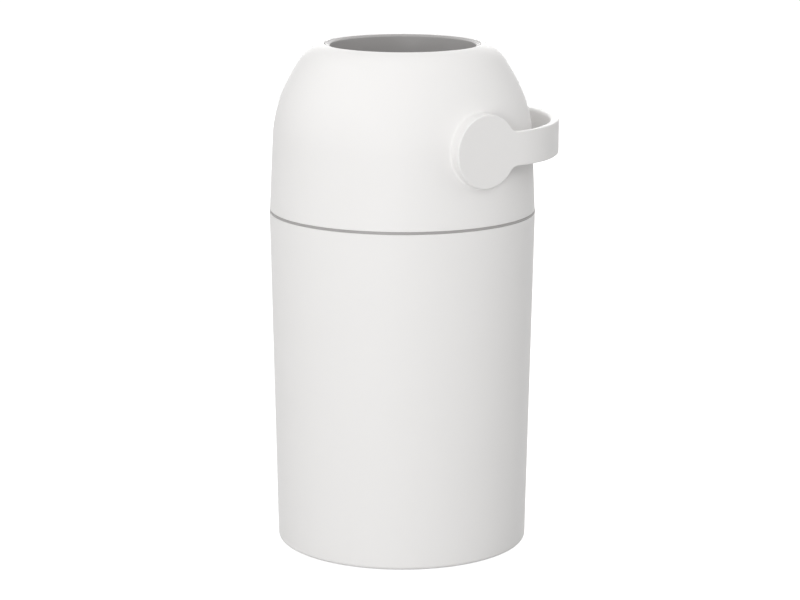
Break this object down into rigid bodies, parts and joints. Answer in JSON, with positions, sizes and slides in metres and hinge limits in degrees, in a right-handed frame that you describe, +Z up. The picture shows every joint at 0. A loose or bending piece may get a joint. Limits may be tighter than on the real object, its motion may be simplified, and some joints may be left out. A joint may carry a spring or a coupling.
{
  "type": "nappy bin",
  "caption": "Tall round nappy bin with a domed lift-off head, a grey mouth collar and seam band, and a flip handle that turns a ball chamber with a sliding piston inside.",
  "frame": {"origin": "middle of the foot ring, on the ground the bin stands on, on the bin's upright axis", "axes": "+Z up along the bin's axis, X along the handle's pivot, +Y towards the back where the handle's strap lies"},
  "size_m": [0.3052, 0.3284, 0.5676],
  "materials": {
    "white_shell": "fine satin moulded plastic, white",
    "grey_trim": "satin moulded plastic, warm grey",
    "grey_inner": "satin moulded plastic, lighter grey",
    "bearing": "smooth natural bearing plastic",
    "seal_rubber": "soft dark rubber",
    "steel": "zinc-plated steel"
  },
  "bodies": {
    "bin": {"bin_body": "white_shell", "foot_ring": "seal_rubber"},
    "ring": {"bag_ring": "grey_trim"},
    "head": {"dome_cover": "white_shell", "mouth_collar": "grey_trim", "upper_seal": "seal_rubber", "collar_screws": "steel", "lower_housing": "grey_inner", "lower_seal": "seal_rubber", "housing_screws": "steel", "lid_gasket": "seal_rubber", "pivot_bush_left": "bearing", "pivot_bush_right": "bearing"},
    "rotor": {"handle": "white_shell", "pivot_shaft_left": "bearing", "pivot_shaft_right": "bearing", "handle_screws": "steel", "rotor_half_front": "grey_inner", "rotor_half_rear": "grey_inner", "rotor_screws": "steel", "chamber_tube": "grey_trim", "chamber_ring_lower": "grey_trim", "chamber_ring_upper": "grey_trim"},
    "piston": {"piston_body": "grey_inner", "piston_cap": "grey_inner", "piston_weight": "steel", "piston_wiper_lower": "seal_rubber", "piston_wiper_upper": "seal_rubber", "piston_screws": "steel"}
  },
  "joints": [
    {"name": "head_lift", "type": "slide", "parent": "bin", "child": "head", "axis": [0, 0, 1], "range_m": [0, 0.25]},
    {"name": "bag_ring_lift", "type": "slide", "parent": "bin", "child": "ring", "axis": [0, 0, 1], "range_m": [0, 0.1]},
    {"name": "handle_flip", "type": "hinge", "parent": "head", "child": "rotor", "pos_m": [0, 0, 0.4644], "axis": [1, 0, 0], "range_deg": [0, 180]},
    {"name": "piston_slide", "type": "slide", "parent": "rotor", "child": "piston", "axis": [0, 0, 1], "range_m": [0, 0.116]}
  ],
  "couplings": [
    {"joint": "bag_ring_lift", "follows": "head_lift", "ratio": 0.4}
  ]
}
